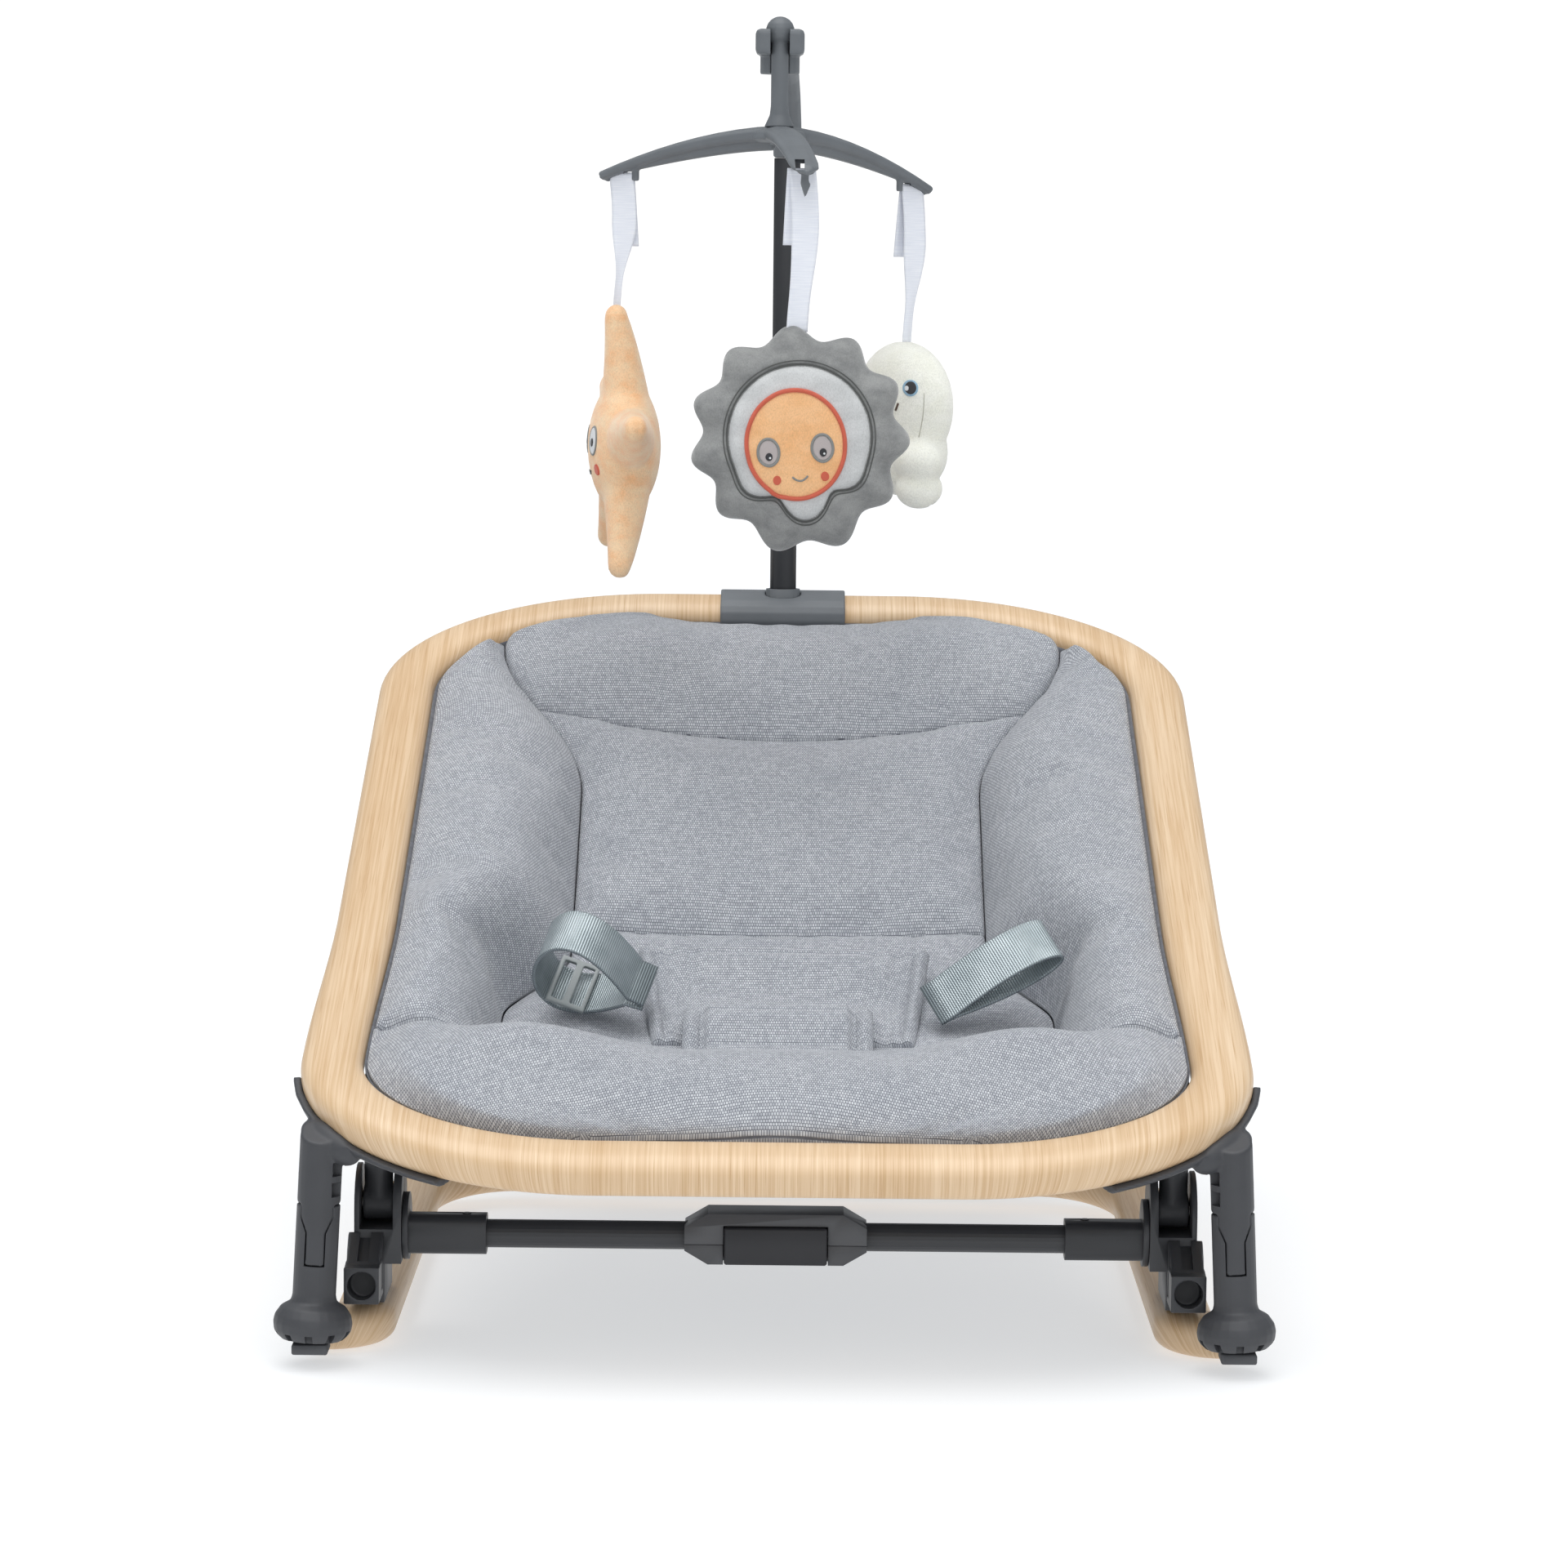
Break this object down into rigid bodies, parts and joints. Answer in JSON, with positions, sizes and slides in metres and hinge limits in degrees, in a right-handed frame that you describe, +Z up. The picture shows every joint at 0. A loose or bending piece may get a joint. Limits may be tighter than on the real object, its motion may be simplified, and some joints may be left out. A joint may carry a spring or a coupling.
{
  "type": "infant bouncer seat",
  "caption": "Infant bouncer seat: a padded hammock in a sloping wood-look ring on a rocker base, with a plug-in toy bar that carries hanging plush toys.",
  "frame": {"origin": "floor level, under the middle of the whole seat's box", "axes": "+Z up, +Y from the foot end towards the head end, +X to the right when seen from the foot end"},
  "size_m": [0.5362, 0.6966, 0.7348],
  "materials": {
    "wood_film": "pale maple-look surface with a satin varnish",
    "grey_plastic": "moulded, fine matt texture",
    "dark_plastic": "moulded, fine matt texture",
    "rubber": "soft matt grip rubber",
    "steel": "plain drawn steel",
    "pole": "extruded tube, satin",
    "sling": "tight woven base cloth",
    "knit": "soft melange jersey knit over padding",
    "buckle": "smooth moulded, satin",
    "webbing": "ribbed woven strap with a slight sheen",
    "ribbon": "white satin ribbon",
    "orange_velour": "short-pile velour",
    "grey_velour": "short-pile velour with an appliqued face",
    "cream_velour": "short-pile velour"
  },
  "bodies": {
    "base": {"button_spring": "steel", "crossbar_sleeve_left": "dark_plastic", "crossbar_sleeve_right": "dark_plastic", "crossbar_tube_left": "dark_plastic", "crossbar_tube_right": "dark_plastic", "hub_left": "dark_plastic", "hub_right": "dark_plastic", "pivot_pin_left": "steel", "pivot_pin_right": "steel", "release_housing_lower": "dark_plastic", "release_housing_upper": "dark_plastic", "rocker_frame": "wood_film", "runner_plug_left": "dark_plastic", "runner_plug_right": "dark_plastic", "sleeve_rivet_left": "dark_plastic", "sleeve_rivet_right": "dark_plastic", "socket_arm_left": "dark_plastic", "socket_arm_right": "dark_plastic"},
    "release_button": {"release_button": "dark_plastic"},
    "lock_rod_left": {"lock_rod_left": "steel"},
    "lock_rod_right": {"lock_rod_right": "steel"},
    "seat": {"back_pad": "knit", "bolster_left": "knit", "bolster_right": "knit", "corner_bracket_left": "grey_plastic", "corner_bracket_right": "grey_plastic", "crotch_pad": "knit", "foot_peg_left": "rubber", "foot_peg_right": "rubber", "front_roll": "knit", "hammock_sling": "sling", "head_pad": "knit", "leg_sleeve_left": "grey_plastic", "leg_sleeve_right": "grey_plastic", "pole_bush": "grey_plastic", "seat_pad": "knit", "seat_ring": "wood_film", "strap_adjuster_left": "buckle", "top_bracket": "grey_plastic", "waist_pad": "knit", "webbing_left": "webbing", "webbing_right": "webbing"},
    "toy_bar": {"hanger_clip": "grey_plastic", "toy_bar_arm": "grey_plastic", "toy_bar_pole": "pole"},
    "hanger": {"hanger_rod": "grey_plastic", "hanger_spider": "grey_plastic"},
    "lion": {"lion_plush": "grey_velour", "lion_ribbon": "ribbon"},
    "elephant": {"elephant_plush": "cream_velour", "elephant_ribbon": "ribbon"},
    "star": {"star_plush": "orange_velour", "star_ribbon": "ribbon"}
  },
  "joints": [
    {"name": "seat_recline", "type": "hinge", "parent": "base", "child": "seat", "pos_m": [0, -0.2214, 0.075], "axis": [-1, 0, 0], "range_deg": [0, 20]},
    {"name": "release_press", "type": "slide", "parent": "base", "child": "release_button", "axis": [0, 1, 0], "range_m": [0, 0.004], "stiffness_N_per_m": 300, "deforming": ["button_spring"]},
    {"name": "lock_rod_left_slide", "type": "slide", "parent": "base", "child": "lock_rod_left", "axis": [1, 0, 0], "range_m": [0, 0.004]},
    {"name": "lock_rod_right_slide", "type": "slide", "parent": "base", "child": "lock_rod_right", "axis": [-1, 0, 0], "range_m": [0, 0.004]},
    {"name": "toy_bar_lift", "type": "slide", "parent": "seat", "child": "toy_bar", "axis": [0, 0, 1], "range_m": [0, 0.04]},
    {"name": "hanger_spin", "type": "hinge", "parent": "toy_bar", "child": "hanger", "pos_m": [-0.005, 0.1286, 0.726], "axis": [0, 0, 1], "continuous": true},
    {"name": "lion_swing", "type": "hinge", "parent": "hanger", "child": "lion", "pos_m": [0.00892, 0.02957, 0.63546], "axis": [0.9903, 0.1392, 0], "range_deg": [-12, 12]},
    {"name": "elephant_swing", "type": "hinge", "parent": "hanger", "child": "elephant", "pos_m": [0.0738, 0.19017, 0.62868], "axis": [-0.6157, 0.788, 0], "range_deg": [-12, 12]},
    {"name": "star_swing", "type": "hinge", "parent": "hanger", "child": "star", "pos_m": [-0.09772, 0.16606, 0.63358], "axis": [-0.3746, -0.9272, 0], "range_deg": [-12, 12]}
  ],
  "couplings": [
    {"joint": "lock_rod_left_slide", "follows": "release_press", "ratio": 1},
    {"joint": "lock_rod_right_slide", "follows": "release_press", "ratio": 1}
  ]
}
